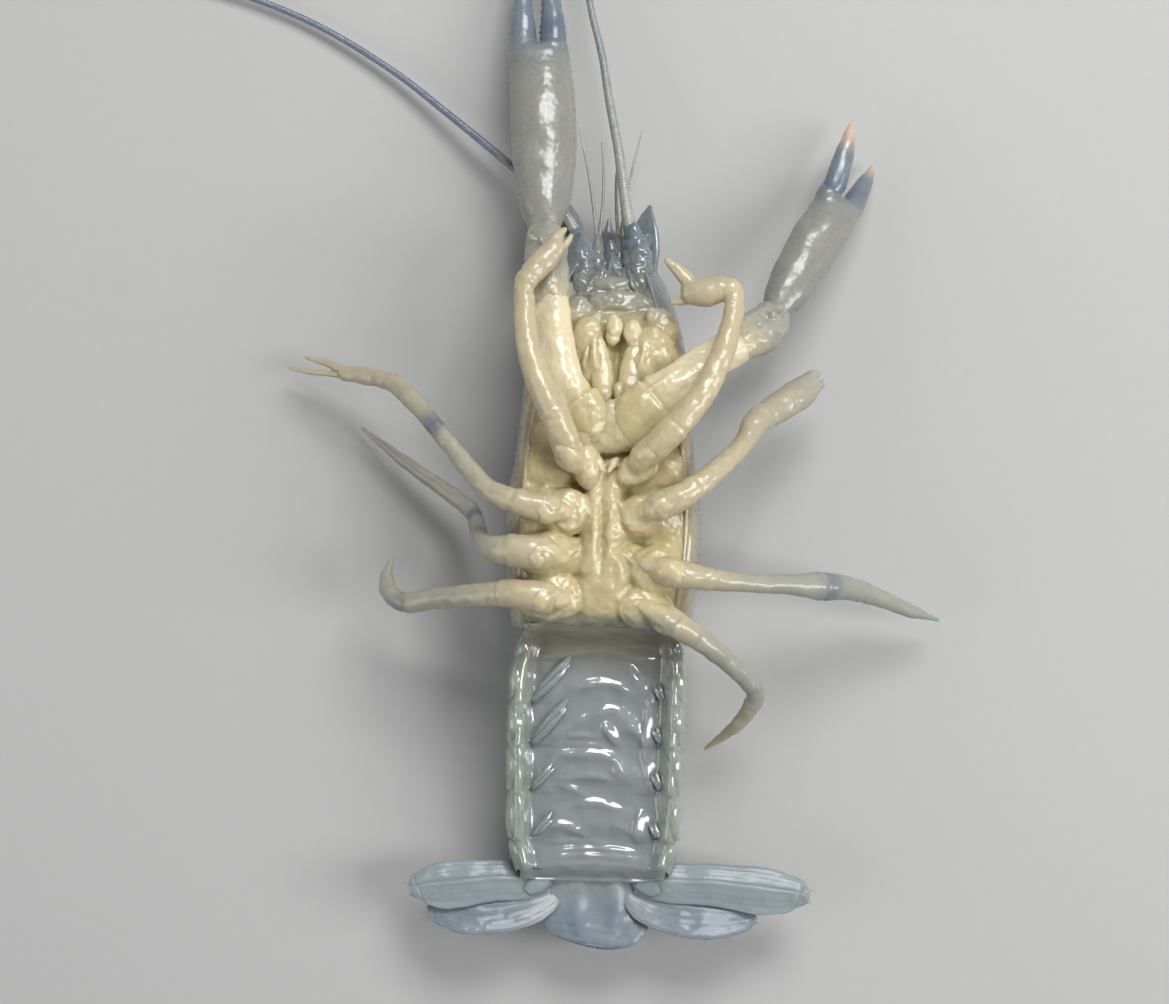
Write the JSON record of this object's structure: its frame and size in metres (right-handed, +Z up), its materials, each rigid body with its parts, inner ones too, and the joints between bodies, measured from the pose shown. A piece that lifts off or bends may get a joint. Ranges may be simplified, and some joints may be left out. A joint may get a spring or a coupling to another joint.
{
  "type": "blue crayfish figure",
  "caption": "Life-size still model of a young blue crayfish on its back, with spread legs, two claws and an open tail fan.",
  "frame": {"origin": "middle of the flat of the back shield on which the animal lies", "axes": "+Y to the head, +Z up out of the underside, +X to the animal's own left"},
  "size_m": [0.0643, 0.1003, 0.0163],
  "materials": {
    "shell": "wet, clear blue-grey shell",
    "cream": "wet, cream-yellow underside",
    "limb": "wet, milky grey-green limb",
    "claw": "wet, slate-blue claw",
    "tail": "wet, clear grey-blue tail",
    "eye": "glossy black"
  },
  "bodies": {
    "root": {"breastplate": "cream", "claw_left_arm": "cream", "claw_left_finger": "claw", "claw_left_hand": "claw", "claw_left_wrist": "limb", "claw_right_arm": "cream", "claw_right_finger": "claw", "claw_right_hand": "claw", "claw_right_wrist": "limb", "eye_left": "eye", "eye_right": "eye", "feeler_left_far": "claw", "feeler_left_near": "claw", "feeler_left_stem": "limb", "feeler_right_far": "claw", "feeler_right_near": "claw", "feeler_right_stem": "limb", "feeler_scale_left": "shell", "feeler_scale_right": "shell", "foot_jaw_left": "cream", "foot_jaw_right": "cream", "head": "shell", "jaw_left": "cream", "jaw_right": "cream", "leg_2_left_lower": "limb", "leg_2_left_upper": "cream", "leg_2_right_lower": "limb", "leg_2_right_upper": "cream", "leg_3_left_lower": "limb", "leg_3_left_upper": "cream", "leg_3_right_lower": "limb", "leg_3_right_upper": "cream", "leg_4_left_lower": "limb", "leg_4_left_upper": "cream", "leg_4_right_lower": "limb", "leg_4_right_upper": "cream", "leg_5_left_lower": "limb", "leg_5_left_upper": "cream", "leg_5_right_lower": "limb", "leg_5_right_upper": "cream", "small_feelers_left": "limb", "small_feelers_right": "limb", "tail_fan_left_inner": "tail", "tail_fan_left_outer": "tail", "tail_fan_middle": "tail", "tail_fan_right_inner": "tail", "tail_fan_right_outer": "tail", "tail_ring_1": "tail", "tail_ring_2": "tail", "tail_ring_3": "tail", "tail_ring_4": "tail", "tail_ring_5": "tail", "tail_ring_6": "tail", "thorax": "shell"}
  },
  "joints": []
}
